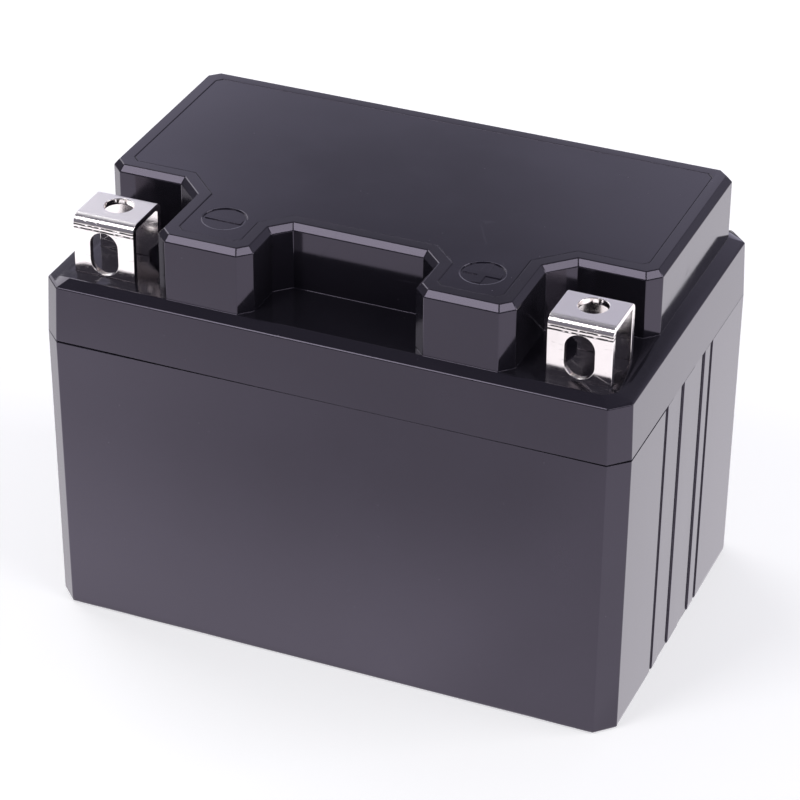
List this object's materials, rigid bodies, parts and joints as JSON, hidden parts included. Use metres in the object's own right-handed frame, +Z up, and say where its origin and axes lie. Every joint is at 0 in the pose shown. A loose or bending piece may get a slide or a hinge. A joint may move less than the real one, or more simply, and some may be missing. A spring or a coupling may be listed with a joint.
{
  "type": "motorcycle battery",
  "caption": "Sealed lead-acid motorcycle battery with a raised stepped lid, two slotted U-strap terminals, valve caps under a flush cover, and plate packs in partitioned cells.",
  "frame": {"origin": "centre of the case's bottom face", "axes": "+X from the negative to the positive terminal, along the longest side; -Y is the terminal side; +Z up"},
  "size_m": [0.113, 0.07, 0.083],
  "materials": {
    "case_plastic": "gloss",
    "lid_plastic": "gloss",
    "cover_plastic": "gloss",
    "terminal_nickel": "polished",
    "lead": "satin",
    "negative_paste": "matte",
    "positive_paste": "matte",
    "glass_mat": "matte",
    "valve_rubber": "matte",
    "seal_resin": "gloss"
  },
  "bodies": {
    "battery": {"case": "case_plastic", "lid": "lid_plastic", "top_cover": "cover_plastic", "negative_terminal": "terminal_nickel", "negative_post": "lead", "negative_post_seal": "valve_rubber", "negative_post_resin": "seal_resin", "positive_terminal": "terminal_nickel", "positive_post": "lead", "positive_post_seal": "valve_rubber", "positive_post_resin": "seal_resin", "cell_1_separators": "glass_mat", "cell_1_negative_plates": "negative_paste", "cell_1_positive_plates": "positive_paste", "cell_1_negative_strap": "lead", "cell_1_positive_strap": "lead", "cell_2_separators": "glass_mat", "cell_2_negative_plates": "negative_paste", "cell_2_positive_plates": "positive_paste", "cell_2_negative_strap": "lead", "cell_2_positive_strap": "lead", "cell_weld_1": "lead", "cell_3_separators": "glass_mat", "cell_3_negative_plates": "negative_paste", "cell_3_positive_plates": "positive_paste", "cell_3_negative_strap": "lead", "cell_3_positive_strap": "lead", "cell_weld_2": "lead", "cell_4_separators": "glass_mat", "cell_4_negative_plates": "negative_paste", "cell_4_positive_plates": "positive_paste", "cell_4_negative_strap": "lead", "cell_4_positive_strap": "lead", "cell_weld_3": "lead", "cell_5_separators": "glass_mat", "cell_5_negative_plates": "negative_paste", "cell_5_positive_plates": "positive_paste", "cell_5_negative_strap": "lead", "cell_5_positive_strap": "lead", "cell_weld_4": "lead", "cell_6_separators": "glass_mat", "cell_6_negative_plates": "negative_paste", "cell_6_positive_plates": "positive_paste", "cell_6_negative_strap": "lead", "cell_6_positive_strap": "lead", "cell_weld_5": "lead"},
    "valve_cap_1": {"valve_cap_1": "valve_rubber"},
    "valve_cap_2": {"valve_cap_2": "valve_rubber"},
    "valve_cap_3": {"valve_cap_3": "valve_rubber"},
    "valve_cap_4": {"valve_cap_4": "valve_rubber"},
    "valve_cap_5": {"valve_cap_5": "valve_rubber"},
    "valve_cap_6": {"valve_cap_6": "valve_rubber"}
  },
  "joints": [
    {"name": "valve_lift_1", "type": "slide", "parent": "battery", "child": "valve_cap_1", "axis": [0, 0, 1], "range_m": [0, 0.0004], "stiffness_N_per_m": 700, "springref_m": -0.001},
    {"name": "valve_lift_2", "type": "slide", "parent": "battery", "child": "valve_cap_2", "axis": [0, 0, 1], "range_m": [0, 0.0004], "stiffness_N_per_m": 700, "springref_m": -0.001},
    {"name": "valve_lift_3", "type": "slide", "parent": "battery", "child": "valve_cap_3", "axis": [0, 0, 1], "range_m": [0, 0.0004], "stiffness_N_per_m": 700, "springref_m": -0.001},
    {"name": "valve_lift_4", "type": "slide", "parent": "battery", "child": "valve_cap_4", "axis": [0, 0, 1], "range_m": [0, 0.0004], "stiffness_N_per_m": 700, "springref_m": -0.001},
    {"name": "valve_lift_5", "type": "slide", "parent": "battery", "child": "valve_cap_5", "axis": [0, 0, 1], "range_m": [0, 0.0004], "stiffness_N_per_m": 700, "springref_m": -0.001},
    {"name": "valve_lift_6", "type": "slide", "parent": "battery", "child": "valve_cap_6", "axis": [0, 0, 1], "range_m": [0, 0.0004], "stiffness_N_per_m": 700, "springref_m": -0.001}
  ]
}
